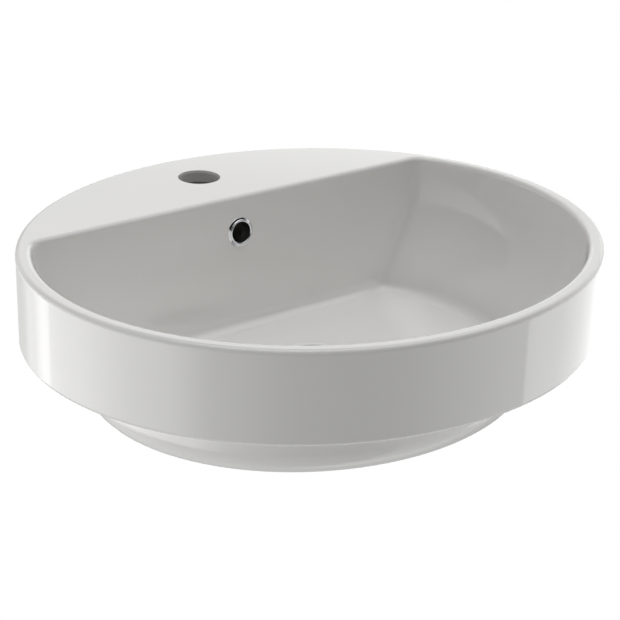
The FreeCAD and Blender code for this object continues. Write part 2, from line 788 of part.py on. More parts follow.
def build_rotor():
    """Indexing rotor: a ring on the post with a crown of sloping teeth below."""
    foot = f"{CORE_HEAD} - play - rotor_tall"
    hoop = turned(
        "RotorHoop",
        [
            ("core_post_wide / 2 + fit / 2", "0"),
            ("rotor_wide / 2", "0"),
            ("rotor_wide / 2", "rotor_tall"),
            ("core_post_wide / 2 + fit / 2", "rotor_tall"),
        ],
        y="outlet_back",
        z=foot,
    )
    teeth = []
    count = int(number("rotor_teeth"))
    for i in range(count):
        tooth = doc.addObject("Part::Wedge", f"RotorNotch{i}")
        for name, formula in (
            ("Xmin", "0"), ("Xmax", "rotor_wide"), ("X2min", "0"), ("X2max", "rotor_wide"),
            ("Ymin", "0"), ("Ymax", "tooth_tall"),
            ("Zmin", "0"), ("Zmax", "rotor_wide / 4"), ("Z2min", "0"), ("Z2max", "0.1"),
        ):
            tooth.setExpression(name, size(formula))
        turn = FreeCAD.Rotation(V(0, 0, 1), 360.0 * i / count) * FreeCAD.Rotation(V(1, 0, 0), 90)
        tooth.Placement = FreeCAD.Placement(V(0, number("outlet_back"), number(foot)), turn)
        tooth.setExpression("Placement.Base.y", size("outlet_back"))
        tooth.setExpression("Placement.Base.z", size(foot))
        teeth.append(tooth)
    body = cut("cam_rotor", hoop, fuse("RotorNotches", teeth))
    body.Label = "cam_rotor"
    return body


def build_sleeve():
    """Sliding sleeve with a closed roof, a groove for the clip and a stud for the plug."""
    roof = f"{SLEEVE_ROOF} - ( {SLEEVE_FOOT} )"
    groove = "sleeve_in / 2 + clip_deep"
    stud_top = f"{CAP_FOOT} - ( {SLEEVE_FOOT} ) - 1"
    body = turned(
        "cartridge_sleeve",
        [
            ("sleeve_in / 2", "0"),
            ("sleeve_out / 2", "0"),
            ("sleeve_out / 2", f"{roof} + sleeve_roof"),
            ("stud_wide / 2", f"{roof} + sleeve_roof"),
            ("stud_wide / 2", stud_top),
            ("0", stud_top),
            ("0", roof),
            ("sleeve_in / 2", roof),
            ("sleeve_in / 2", "clip_lift + clip_thick + play"),
            (groove, "clip_lift + clip_thick + play"),
            (groove, "clip_lift - play"),
            ("sleeve_in / 2", "clip_lift - play"),
        ],
        y="outlet_back",
        z=SLEEVE_FOOT,
    )
    body.Label = "cartridge_sleeve"
    return body


def build_clip():
    """Split ring in the sleeve's groove; it meets the rotor when the plug is fully up."""
    hoop = turned(
        "ClipHoop",
        [
            ("clip_in / 2", "0"),
            ("sleeve_in / 2 + clip_deep - fit", "0"),
            ("sleeve_in / 2 + clip_deep - fit", "clip_thick"),
            ("clip_in / 2", "clip_thick"),
        ],
        y="outlet_back",
        z=CLIP_FOOT,
    )
    gap = box(
        "ClipGap",
        "clip_gap",
        "sleeve_out",
        "3 * clip_thick",
        x="0 - clip_gap / 2",
        y="outlet_back",
        z=f"{CLIP_FOOT} - clip_thick",
    )
    body = cut("retaining_clip", hoop, gap)
    body.Label = "retaining_clip"
    return body


def build_spring():
    """Push spring between the core's head and the sleeve's roof, as one wound wire."""
    wire = number("spring_wire")
    radius = number("spring_wide - spring_wire") / 2
    foot = number(SPRING_FOOT) + wire / 2 + number("play") / 2
    rise = number("spring_tall - spring_wire - play")
    turns = number("spring_turns")
    helix = Part.makeLongHelix(rise / turns, rise, radius)
    section = Part.Wire([Part.Circle(V(radius, 0, 0), V(0, 1, 0), wire / 2).toShape()])
    item = doc.addObject("Part::Feature", "cartridge_spring")
    item.Shape = Part.Wire(helix.Edges).makePipeShell([section], True, True)
    item.Placement = FreeCAD.Placement(V(0, number("outlet_back"), foot), FreeCAD.Rotation())
    item.Label = "cartridge_spring"
    print(f"cartridge_spring: gap between turns {rise / turns - wire:.2f} mm")
    return item


# ---------------------------------------------------------------------------------- plug
def build_cap():
    """Domed cap with a skirt that carries the sealing ring, and a boss on the sleeve's stud."""
    crown = [
        ("cap_wide / 2", "cap_edge * 0.4"),
        ("cap_wide / 2", "cap_edge"),
    ]
    for part in CROWN_PARTS:
        lift = f"cap_edge + ( cap_crown - cap_edge ) * ( 1 - {part} ^ 2 )"
        crown.append((f"cap_wide / 2 * {part}", lift))
    skirt = "tail_bore / 2 - cap_skirt_gap"
    boss = f"( {CAP_FOOT} - {SLEEVE_ROOF} - sleeve_roof )"
    body = turned(
        "plug_cap",
        [
            ("cap_wide / 2 - cap_edge * 0.4", "0"),
            *crown,
            ("0", "cap_crown"),
            ("0", "0 - stud_seat"),
            ("stud_wide / 2 + fit / 2", "0 - stud_seat"),
            ("stud_wide / 2 + fit / 2", f"0 - {boss}"),
            ("cap_boss_wide / 2", f"0 - {boss}"),
            ("cap_boss_wide / 2", "0"),
            (f"{skirt} - cap_skirt_thick", "0"),
            (f"{skirt} - cap_skirt_thick", "0 - cap_skirt_tall"),
            (skirt, "0 - cap_skirt_tall"),
            (skirt, "0"),
        ],
        y="outlet_back",
        z=CAP_FOOT,
    )
    body.Label = "plug_cap"
    return body


def build_plug_ring():
    """Rubber ring under the cap, whose foot follows the flange's dish."""
    fall = "throat_fall / ( ( flange_mouth - throat_wide ) / 2 )"
    foot = {
        edge: f"ring_gap - ( flange_mouth / 2 - {edge} / 2 ) * {fall}" for edge in ("ring_in", "ring_out")
    }
    body = turned(
        "plug_ring",
        [
            ("ring_in / 2", foot["ring_in"]),
            ("ring_out / 2", foot["ring_out"]),
            ("ring_out / 2", "cap_lift"),
            ("ring_in / 2", "cap_lift"),
        ],
        y="outlet_back",
        z=FLANGE_TOP,
    )
    body.Label = "plug_ring"
    return body


# ---------------------------------------------------------------------------------- export
def build_all():
    """Every piece, in the order of its node name."""
    seal_inner = "tail_wide / 2 + 1 + fit"
    washer_foot = f"{BOSS} - washer_thick"
    return [
        build_basin(),
        build_overflow_ring(),
        build_overflow_sleeve(),
        build_waste_body(),
        ring("flange_seal", seal_inner, "seal_wide / 2", SEAT, f"{SEAT} + seal_thick"),
        build_outlet_washer(),
        ring("slip_washer", "tail_wide / 2 + fit", "slip_wide / 2", f"{washer_foot} - slip_thick", washer_foot),
        build_backnut(),
        build_core(),
        build_locknut(),
        build_rotor(),
        build_sleeve(),
        build_clip(),
        build_spring(),
        build_cap(),
        build_plug_ring(),
    ]


def main():
    """Build the pieces, test each one and write it as a STEP file named after its label."""
    pieces = build_all()
    doc.recompute()
    for piece in pieces:
        shape = piece.Shape
        if shape.isNull() or not shape.isValid() or not shape.Solids or "Invalid" in piece.State:
            raise RuntimeError(f"{piece.Label} did not build: {piece.State}")
        shape.exportStep(f"parts/{piece.Label}.step")
        bounds = shape.BoundBox
        print(f"{piece.Label}: {shape.Volume / 1000:.2f} cm3, Z {bounds.ZMin:.2f} to {bounds.ZMax:.2f}")


main()
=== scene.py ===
"""Looks of the semi recessed basin: glazed china, a chromed overflow ring and a push-to-open waste.

The scene is in metres and in the frame of the CAD part: +Z up, -Y towards the user, the origin at
the centre of the oval on the worktop plane. The overflow ring, the plug's cap and the waste body are
drawn anew, with the waste's thread as a real helix. Everything else keeps its CAD mesh and takes a
procedural finish.
"""

import logging
import math
from dataclasses import dataclass
from typing import Iterable, Sequence

import bmesh
import bpy
import numpy as np
from mathutils import Matrix, Vector


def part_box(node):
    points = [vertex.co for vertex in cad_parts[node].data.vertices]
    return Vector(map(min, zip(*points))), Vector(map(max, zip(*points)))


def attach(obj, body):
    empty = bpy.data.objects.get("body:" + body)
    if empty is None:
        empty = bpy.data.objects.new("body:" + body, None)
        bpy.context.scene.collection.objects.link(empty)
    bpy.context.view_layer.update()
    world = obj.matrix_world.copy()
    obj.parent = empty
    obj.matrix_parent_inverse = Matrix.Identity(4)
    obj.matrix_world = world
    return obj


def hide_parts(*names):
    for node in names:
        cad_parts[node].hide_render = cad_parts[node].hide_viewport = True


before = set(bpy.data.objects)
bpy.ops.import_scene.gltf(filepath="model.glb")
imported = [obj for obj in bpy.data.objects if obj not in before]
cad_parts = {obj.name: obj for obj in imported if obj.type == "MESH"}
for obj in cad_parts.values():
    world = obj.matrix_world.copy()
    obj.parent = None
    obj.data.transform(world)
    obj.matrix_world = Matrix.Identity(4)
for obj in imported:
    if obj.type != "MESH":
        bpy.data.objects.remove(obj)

LOG = logging.getLogger("basin_looks")
Colour = tuple[float, float, float]
Point = tuple[float, float, float]
AXES: tuple[Point, Point, Point] = ((1.0, 0.0, 0.0), (0.0, 1.0, 0.0), (0.0, 0.0, 1.0))


# ------------------------------------------------------------------------------ shader algebra
class Value:
    """A number inside a node tree, on which arithmetic adds Math nodes."""

    def __init__(self, graph: "Graph", socket: bpy.types.NodeSocket) -> None:
        """Keep the socket that carries the number.

        Args:
            graph: the graph that the socket belongs to.
            socket: an output socket.
        """
        self.graph = graph
        self.socket = socket

    def _math(self, operation: str, *others: "Value | float", clamp: bool = False) -> "Value":
        """Add one Math node with this value first.

        Args:
            operation: the node's operation.
            others: the other operands.
            clamp: True to hold the result between 0 and 1.

        Returns:
            The node's result.
        """
        settings = {"operation": operation, "use_clamp": clamp}
        node = self.graph.node("ShaderNodeMath", settings, dict(enumerate((self, *others))))
        return Value(self.graph, node.outputs[0])

    def __add__(self, other: "Value | float") -> "Value":
        """Sum."""
        return self._math("ADD", other)

    def __radd__(self, other: float) -> "Value":
        """Sum with a plain number first."""
        return self._math("ADD", other)

    def __sub__(self, other: "Value | float") -> "Value":
        """Difference."""
        return self._math("SUBTRACT", other)

    def __rsub__(self, other: float) -> "Value":
        """Plain number less this value."""
        return self._math("MULTIPLY_ADD", -1.0, other)

    def __mul__(self, other: "Value | float") -> "Value":
        """Product."""
        return self._math("MULTIPLY", other)

    def __rmul__(self, other: float) -> "Value":
        """Product with a plain number first."""
        return self._math("MULTIPLY", other)

    def __truediv__(self, other: "Value | float") -> "Value":
        """Quotient."""
        return self._math("DIVIDE", other)

    def __rtruediv__(self, other: float) -> "Value":
        """Plain number divided by this value."""
        return self._math("POWER", -1.0) * other

    def clamped(self) -> "Value":
        """The value held between 0 and 1."""
        return self._math("ADD", 0.0, clamp=True)

    def power(self, exponent: float) -> "Value":
        """The value raised to an exponent."""
        return self._math("POWER", exponent)

    def heading(self, ahead: "Value") -> "Value":
        """Azimuth of a direction whose sideways part is this value.

        Args:
            ahead: the direction's part ahead.

        Returns:
            Degrees, from -30 to 330.
        """
        return (self._math("ARCTAN2", ahead) * math.degrees(1.0))._math("WRAP", 330.0, -30.0)

    def step(self, low: float, high: float) -> "Value":
        """Smooth step that is 0 at low and 1 at high.

        Args:
            low: value at which the step starts.
            high: value at which it ends; below low for a falling step.

        Returns:
            A value from 0 to 1.
        """
        if high < low:
            return 1.0 - self.step(high, low)
        node = self.graph.node(
            "ShaderNodeMapRange",
            {"interpolation_type": "SMOOTHSTEP"},
            {"Value": self, "From Min": low, "From Max": high, "To Min": 0.0, "To Max": 1.0},
        )
        return Value(self.graph, node.outputs["Result"])


class Graph:
    """A node tree that is filled by name, one node at a time."""

    def __init__(self, tree: bpy.types.NodeTree) -> None:
        """Start from an empty tree.

        Args:
            tree: the tree of a material or of the world.
        """
        self.tree = tree
        tree.nodes.clear()

    def node(self, kind: str, settings: dict | None = None, inputs: dict | None = None) -> bpy.types.Node:
        """Add a node of any type.

        Args:
            kind: the node's type.
            settings: its properties by name.
            inputs: values, sockets or Values by input name or number.

        Returns:
            The node.
        """
        made = self.tree.nodes.new(kind)
        for name, value in (settings or {}).items():
            setattr(made, name, value)
        for name, value in (inputs or {}).items():
            self.feed(made.inputs[name], value)
        return made

    def feed(self, socket: bpy.types.NodeSocket, value: object) -> None:
        """Link or set one input.

        Args:
            socket: the input.
            value: a Value, an output socket, or a constant.
        """
        if isinstance(value, Value):
            self.tree.links.new(value.socket, socket)
        elif isinstance(value, bpy.types.NodeSocket):
            self.tree.links.new(value, socket)
        elif isinstance(value, tuple) and socket.type == "RGBA" and len(value) == 3:
            socket.default_value = (*value, 1.0)
        else:
            socket.default_value = value

    def coordinates(self) -> bpy.types.NodeSocket:
        """Object coordinates, in metres."""
        return self.node("ShaderNodeTexCoord").outputs["Object"]

    def parts(self, vector: bpy.types.NodeSocket) -> tuple[Value, ...]:
        """The three parts of a vector, each its dot product with an axis."""
        return tuple(self.dot(vector, axis) for axis in AXES)

    def vector(self, operation: str, *parts: object) -> bpy.types.NodeSocket:
        """Add one Vector Math node.

        Args:
            operation: the node's operation.
            parts: vectors or vector sockets.

        Returns:
            The vector that it makes.
        """
        made = self.node("ShaderNodeVectorMath", {"operation": operation}, dict(enumerate(parts)))
        return made.outputs["Vector"]

    def dot(self, first: object, second: object) -> Value:
        """Dot product of two vectors.

        Args:
            first: a vector or a vector socket.
            second: the same.

        Returns:
            The product.
        """
        made = self.node("ShaderNodeVectorMath", {"operation": "DOT_PRODUCT"}, {0: first, 1: second})
        return Value(self, made.outputs["Value"])

    def noise(self, scale: float, detail: float = 3.0, at: bpy.types.NodeSocket | None = None) -> Value:
        """Fractal noise around 0.5.

        Args:
            scale: features per metre.
            detail: octaves.
            at: coordinates; the object's own if left out.

        Returns:
            The noise's factor.
        """
        vector = at or self.coordinates()
        made = self.node("ShaderNodeTexNoise", inputs={"Vector": vector, "Scale": scale, "Detail": detail})
        return Value(self, made.outputs["Fac"])

    def mix(self, share: Value | float, low: object, high: object) -> bpy.types.NodeSocket:
        """Blend two colours.

        Args:
            share: 0 for low, 1 for high.
            low: a colour or a colour socket.
            high: the same.

        Returns:
            The blended colour.
        """
        made = self.node("ShaderNodeMix", {"data_type": "RGBA"})
        self.feed(made.inputs[0], share)
        self.feed(made.inputs[6], low)
        self.feed(made.inputs[7], high)
        return made.outputs[2]

    def bump(self, height: Value, distance: float, strength: float = 1.0) -> bpy.types.NodeSocket:
        """Normal of a surface raised by a height.

        Args:
            height: the relief, from 0 to 1.
            distance: metres of relief for a height of 1.
            strength: share of the relief that is used.

        Returns:
            The bumped normal.
        """
        inputs = {"Height": height, "Distance": distance, "Strength": strength}
        return self.node("ShaderNodeBump", inputs=inputs).outputs["Normal"]


# ------------------------------------------------------------------------------------ finishes
@dataclass(frozen=True)
class Finish:
    """A procedural finish, with the parts of a Principled shader that all finishes share."""

    name: str
    colour: Colour
    shade: Colour
    roughness: float
    roughness_swing: float
    grain: float
    relief: float
    metallic: float = 0.0
    coat: float = 0.0
    coat_roughness: float = 0.02
    ior: float = 1.5

    def build(self) -> bpy.types.Material:
        """Make the material.

        Returns:
            The material, ready to be put on a mesh.
        """
        material = bpy.data.materials.new(self.name)
        material.use_nodes = True
        graph = Graph(material.node_tree)
        shader = graph.node(
            "ShaderNodeBsdfPrincipled",
            inputs={
                "Metallic": self.metallic,
                "Coat Weight": self.lustre(graph),
                "Coat Roughness": self.coat_roughness,
                "IOR": self.ior,
                "Base Color": self.tint(graph),
                "Roughness": self.sheen(graph),
                "Normal": self.surface(graph),
            },
        )
        graph.node("ShaderNodeOutputMaterial", inputs={"Surface": shader.outputs["BSDF"]})
        return material

    def lustre(self, graph: Graph) -> Value | float:
        """Weight of the clear coat, the same all over.

        Args:
            graph: the material's graph; not used here.

        Returns:
            The weight.
        """
        return self.coat

    def tint(self, graph: Graph) -> bpy.types.NodeSocket:
        """Colour that drifts between the main colour and the shade.

        Args:
            graph: the material's graph.

        Returns:
            The colour.
        """
        drift = graph.noise(self.grain * 0.12, 4.0).step(0.35, 0.7)
        return graph.mix(drift, self.colour, self.shade)

    def sheen(self, graph: Graph) -> Value:
        """Roughness that varies a little over the surface.

        Args:
            graph: the material's graph.

        Returns:
            The roughness.
        """
        return (graph.noise(self.grain * 0.4, 5.0) - 0.5) * self.roughness_swing + self.roughness

    def surface(self, graph: Graph) -> bpy.types.NodeSocket:
        """Fine relief.

        Args:
            graph: the material's graph.

        Returns:
            The normal.
        """
        return graph.bump(graph.noise(self.grain, 2.0), self.relief)


@dataclass(frozen=True)
class Glaze(Finish):
    """Fired white glaze, with slow waviness, and painted shade in the tap hole and the hollow under the
    deck.

    Lengths are in metres, and scales are features per metre. The tap hole is given by its centre's y,
    by a radius just over its own, and by the level at which its rounded edge starts. The hollow under
    the deck is given by the middle of the walls round it: the back wall's y at the worktop plane and
    its lean, the drum's half axes, and the deck's level.
    """

    thin: Colour = (0.90, 0.88, 0.85)
    # Painted shade: a clay tone darkens the tap hole's wall.
    hole_wall_shade: Colour = (0.57, 0.555, 0.535)
    # Painted shade: near-black for the hollow under the deck, seen through the tap hole.
    hollow_shade: Colour = (0.20, 0.19, 0.17)
    thin_share: float = 0.4
    peel_share: float = 0.15
    wave_scale: float = 14.0
    cloud_scale: float = 9.0
    dullness: float = 0.6
    hole_y: float = 0.158
    hole_radius: float = 0.0187
    hole_edge: float = 0.0685
    hole_fade: float = 0.0015
    back_wall: float = 0.0974
    back_lean: float = 0.115
    drum_wide: float = 0.2255
    drum_deep: float = 0.2040
    drum_foot: float = -0.001
    foot_fade: float = 0.013
    deck: float = 0.060
    sharp: float = 0.0001

    def in_hole(self, graph: Graph) -> Value:
        """The tap hole's wall: r < hole_radius from its axis, below its rounded edge.

        Args:
            graph: the material's graph.

        Returns:
            1 on the wall, where the glaze is thin and takes painted shade, and 0 elsewhere.
        """
        x, y, z = graph.parts(graph.coordinates())
        from_axis = (x.power(2.0) + (y - self.hole_y).power(2.0)).power(0.5)
        inside = from_axis.step(self.hole_radius + self.sharp, self.hole_radius - self.sharp)
        return inside * z.step(self.hole_edge, self.hole_edge - self.hole_fade)

    def in_hollow(self, graph: Graph) -> Value:
        """The hollow under the deck, whose clay is bare and painted near-black as painted shade.

        It is y > back_wall + back_lean * z, behind the bowl's leaning wall, and inside the drum, with
        (x / drum_wide)^2 + (y / drum_deep)^2 < 1, between the drum's foot and the deck.

        Args:
            graph: the material's graph.

        Returns:
            1 on the hollow's faces and 0 elsewhere.
        """
        x, y, z = graph.parts(graph.coordinates())
        oval = (x / self.drum_wide).power(2.0) + (y / self.drum_deep).power(2.0)
        in_drum = oval.step(1.001, 0.999)
        behind = (y - z * self.back_lean).step(self.back_wall - self.sharp, self.back_wall + self.sharp)
        under = z.step(self.deck + self.sharp, self.deck - self.sharp)
        above = z.step(self.drum_foot, self.drum_foot + self.foot_fade)
        return in_drum * behind * under * above

    def bare(self, graph: Graph) -> Value:
        """Where the clay shows, in the hole or in the hollow.

        Args:
            graph: the material's graph.

        Returns:
            1 on clay and 0 on glaze.
        """
        return (self.in_hole(graph) + self.in_hollow(graph)).clamped()

    def lustre(self, graph: Graph) -> Value:
        """Weight of the clear coat, none on bare clay.

        Args:
            graph: the material's graph.

        Returns:
            The weight.
        """
        return (1.0 - self.bare(graph)) * self.coat

    def tint(self, graph: Graph) -> bpy.types.NodeSocket:
        """White that drifts slightly and warms where the glaze is thin, with painted shade in the tap hole
        and the hollow.

        Args:
            graph: the material's graph.

        Returns:
            The colour.
        """
        cloud = graph.noise(self.cloud_scale, 4.0).step(0.3, 0.75)
        base = graph.mix(cloud, self.colour, self.shade)
        edge = Value(graph, graph.node("ShaderNodeNewGeometry").outputs["Pointiness"]).step(0.52, 0.6)
        glazed = graph.mix(edge * self.thin_share, base, self.thin)
        # Painted shade: the tap hole's wall is darkened to a clay tone.
        hole_shaded = graph.mix(self.in_hole(graph), glazed, self.hole_wall_shade)
        # Painted shade: the hollow under the deck is made near-black.
        return graph.mix(self.in_hollow(graph), hole_shaded, self.hollow_shade)

    def sheen(self, graph: Graph) -> Value:
        """Roughness of the glaze, and the clay's, which is dull.

        Args:
            graph: the material's graph.

        Returns:
            The roughness.
        """
        return super().sheen(graph) + self.bare(graph) * self.dullness

    def surface(self, graph: Graph) -> bpy.types.NodeSocket:
        """Waviness of the glaze, with a faint orange peel on it.

        Args:
            graph: the material's graph.

        Returns:
            The normal.
        """
        wave = graph.noise(self.wave_scale, 1.0) * (1.0 - self.peel_share)
        peel = graph.noise(self.grain, 2.0) * self.peel_share
        return graph.bump(wave + peel, self.relief)


@dataclass(frozen=True)
class Brushed(Finish):
    """Turned or drawn metal, with fine rings round the vertical axis."""

    along: float = 0.06
    across: float = 4.0

    def sheen(self, graph: Graph) -> Value:
        """Roughness in rings.

        Args:
            graph: the material's graph.

        Returns:
            The roughness.
        """
        rings = graph.noise(self.grain, 2.0, at=self.stretched(graph))
        return (rings - 0.5) * self.roughness_swing + self.roughness

    def surface(self, graph: Graph) -> bpy.types.NodeSocket:
        """Fine turned rings.

        Args:
            graph: the material's graph.

        Returns:
            The normal.
        """
        return graph.bump(graph.noise(self.grain, 2.0, at=self.stretched(graph)), self.relief)

    def stretched(self, graph: Graph) -> bpy.types.NodeSocket:
        """Object coordinates drawn out along the horizontal, so that noise becomes rings.

        Args:
            graph: the material's graph.

        Returns:
            The coordinates.
        """
        return graph.vector("MULTIPLY", graph.coordinates(), (self.along, self.along, self.across))


CHINA = Glaze(
    "china_glaze",
    colour=(0.905, 0.899, 0.882),
    shade=(0.889, 0.882, 0.867),
    roughness=0.025,
    roughness_swing=0.02,
    grain=420.0,
    relief=0.000012,
    coat=0.5,
)
CHROME = Brushed(
    "chrome_plate",
    colour=(0.80, 0.81, 0.83),
    shade=(0.74, 0.75, 0.78),
    roughness=0.07,
    roughness_swing=0.05,
    grain=600.0,
    relief=0.000012,
    metallic=1.0,
)
BRASS = Brushed(
    "turned_brass",
    colour=(0.78, 0.60, 0.30),
    shade=(0.66, 0.48, 0.22),
    roughness=0.24,
    roughness_swing=0.14,
    grain=900.0,
    relief=0.00004,
    metallic=1.0,
)
STEEL = Brushed(
    "drawn_steel",
    colour=(0.60, 0.60, 0.61),
    shade=(0.45, 0.45, 0.47),
    roughness=0.28,
    roughness_swing=0.16,
    grain=1100.0,
    relief=0.00003,
    metallic=1.0,
)
RUBBER = Finish(
    "black_rubber",
    colour=(0.022, 0.022, 0.023),
    shade=(0.045, 0.045, 0.046),
    roughness=0.62,
    roughness_swing=0.22,
    grain=700.0,
    relief=0.00007,
)
SLIP = Finish(
    "slip_washer_plastic",
    colour=(0.78, 0.78, 0.74),
    shade=(0.70, 0.70, 0.66),
    roughness=0.42,
    roughness_swing=0.14,
    grain=500.0,
    relief=0.00004,
)
DARK = Finish(
    "sleeve_plastic",
    colour=(0.018, 0.018, 0.019),
    shade=(0.034, 0.034, 0.036),
    roughness=0.5,
    roughness_swing=0.16,
    grain=620.0,
    relief=0.00004,
)
ACETAL = Finish(
    "acetal_plastic",
    colour=(0.86, 0.85, 0.80),
    shade=(0.79, 0.78, 0.72),
    roughness=0.36,
    roughness_swing=0.14,
    grain=560.0,
    relief=0.00004,
    coat=0.1,
)


# ------------------------------------------------------------------------------------- meshes
@dataclass(frozen=True)
class Sheet:
    """A grid of points, closed on itself along its columns, its rows, both or neither."""

    points: np.ndarray
    wrap_rows: bool = False
    wrap_columns: bool = True

    def faces(self) -> np.ndarray:
        """Four corners of every face.

        Returns:
            An array of vertex numbers, one row per face.
        """
        rows, columns = self.points.shape[:2]
        r = np.arange(rows if self.wrap_rows else rows - 1)[:, None]
        c = np.arange(columns if self.wrap_columns else columns - 1)[None, :]
        below, beside = (r + 1) % rows, (c + 1) % columns
        corners = (r * columns + c, r * columns + beside, below * columns + beside, below * columns + c)
        return np.stack(corners, -1).reshape(-1, 4)


def outward(points: np.ndarray, faces: np.ndarray) -> np.ndarray:
    """Turn the faces of a closed grid outwards, by the sign of the volume that they enclose.

    Args:
        points: vertices.
        faces: four vertex numbers per face.

    Returns:
        The faces, all outward.
    """
    a, b, c, d = (points[faces[:, i]] for i in range(4))
    volume = (a * (np.cross(b, c) + np.cross(c, d))).sum()
    return faces if volume > 0 else faces[:, ::-1]


def weld(mesh: bpy.types.Mesh) -> None:
    """Join vertices that lie on each other, which closes the poles.

    Args:
        mesh: the mesh to change.
    """
    work = bmesh.new()
    work.from_mesh(mesh)
    bmesh.ops.remove_doubles(work, verts=work.verts, dist=1e-7)
    work.to_mesh(mesh)
    work.free()


def build_mesh(
    name: str, sheets: Sequence[Sheet], finish: bpy.types.Material, crease: float = 35.0
) -> bpy.types.Object:
    """Make one object from closed grids.

    Args:
        name: the piece's name.
        sheets: closed grids, each a solid of its own.
        finish: the piece's material.
        crease: degrees between two faces beyond which their edge stays sharp.

    Returns:
        The object, unturned and at the origin.
    """
    points, faces, count = [], [], 0
    for sheet in sheets:
        flat = sheet.points.reshape(-1, 3)
        points.append(flat)
        faces.append(outward(flat, sheet.faces()) + count)
        count += len(flat)
    vertices, quads = np.concatenate(points), np.concatenate(faces)
    mesh = bpy.data.meshes.new(name)
    mesh.vertices.add(len(vertices))
    mesh.vertices.foreach_set("co", vertices.astype(np.float32).ravel())
    mesh.loops.add(quads.size)
    mesh.loops.foreach_set("vertex_index", quads.astype(np.int32).ravel())
    mesh.polygons.add(len(quads))
    mesh.polygons.foreach_set("loop_start", np.arange(0, quads.size, 4, dtype=np.int32))
    mesh.polygons.foreach_set("use_smooth", np.ones(len(quads), bool))
    mesh.update(calc_edges=True)
    weld(mesh)
    mesh.set_sharp_from_angle(angle=math.radians(crease))
    mesh.materials.append(finish)
    made = bpy.data.objects.new(name, mesh)
    bpy.context.scene.collection.objects.link(made)
    return made


def turned(
    profile: np.ndarray, axis: Point = AXES[2], origin: Point = (0.0, 0.0, 0.0), columns: int = 128
) -> Sheet:
    """Solid of revolution of a closed outline.

    A point (r, h) of the outline goes to origin + r (cos t u + sin t v) + h w, with w the axis, u and
    v square to it, and t from 0 to a full turn.

    Args:
        profile: radius and height of the outline's points, in order.
        axis: direction of the axis.
        origin: point of height 0 on the axis.
        columns: steps round the axis.

    Returns:
        The closed grid.
    """
    w = np.asarray(axis, float) / np.linalg.norm(axis)
    u = np.cross(w, AXES[0])
    u /= np.linalg.norm(u)
    v = np.cross(w, u)
    t = np.linspace(0.0, 2 * math.pi, columns, endpoint=False)
    round_ = np.cos(t)[:, None] * u + np.sin(t)[:, None] * v
    grid = np.asarray(origin) + profile[:, 0, None, None] * round_ + profile[:, 1, None, None] * w
    return Sheet(grid, wrap_rows=True)


def arc(
    centre: tuple[float, float], radius: tuple[float, float], start: float, end: float, steps: int
) -> np.ndarray:
    """Points of an elliptic arc in the plane of an outline.

    Args:
        centre: middle of the arc.
        radius: half axes along radius and height.
        start: first angle in degrees, from the radius axis towards the height axis.
        end: last angle in degrees.
        steps: number of points.

    Returns:
        The points, in order.
    """
    t = np.radians(np.linspace(start, end, steps))
    return np.stack([centre[0] + radius[0] * np.cos(t), centre[1] + radius[1] * np.sin(t)], -1)


# ------------------------------------------------------------------------------------- pieces
def adopt(made: bpy.types.Object, node: str, body: str) -> bpy.types.Object:
    """Let a modelled piece stand for a CAD node, on the node's body.

    Args:
        made: the modelled piece.
        node: the CAD node that it stands for.
        body: the CAD body that it moves with.

    Returns:
        The piece.
    """
    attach(made, body)
    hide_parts(node)
    return made


@dataclass(frozen=True)
class Overflow:
    """Chromed ring with a rolled lip, on the axis that leans with the back wall."""

    finish: Finish = CHROME
    middle: Point = (0.0, 0.09772, 0.0403)
    lean: float = math.radians(6.5)
    rim: float = 0.0121
    hole: float = 0.0087
    collar: float = 0.0009
    collar_long: float = 0.009
    thick: float = 0.0018
    base: float = 0.0004
    lip: float = 0.00095
    slope_end: tuple[float, float] = (0.0004, -0.0002)

    def outline(self) -> np.ndarray:
        """Collar, flat foot, hollow slope and rolled lip, as radius and height.

        Returns:
            The closed outline.
        """
        half = self.thick / 2
        lip = arc((self.hole + self.lip, half), (self.lip, half), 0, 180, 17)
        edge = arc((self.rim - self.base, 0.0), (self.base, self.base), 0, 90, 5)
        slope = lip[:1] + self.slope_end
        corners = np.array([
            (self.hole, -self.collar_long),
            (self.hole + self.collar, -self.collar_long),
            (self.hole + self.collar, 0.0),
        ])
        return np.concatenate([corners, edge, slope, lip])

    def build(self, material: bpy.types.Material) -> bpy.types.Object:
        """Make the ring.

        Args:
            material: its finish, ready to be put on the mesh.

        Returns:
            The ring, in place of the CAD ring.
        """
        axis = (0.0, -math.cos(self.lean), math.sin(self.lean))
        ring = build_mesh("overflow_ring_shell", [turned(self.outline(), axis, self.middle)], material)
        return adopt(ring, "overflow_ring", "basin")


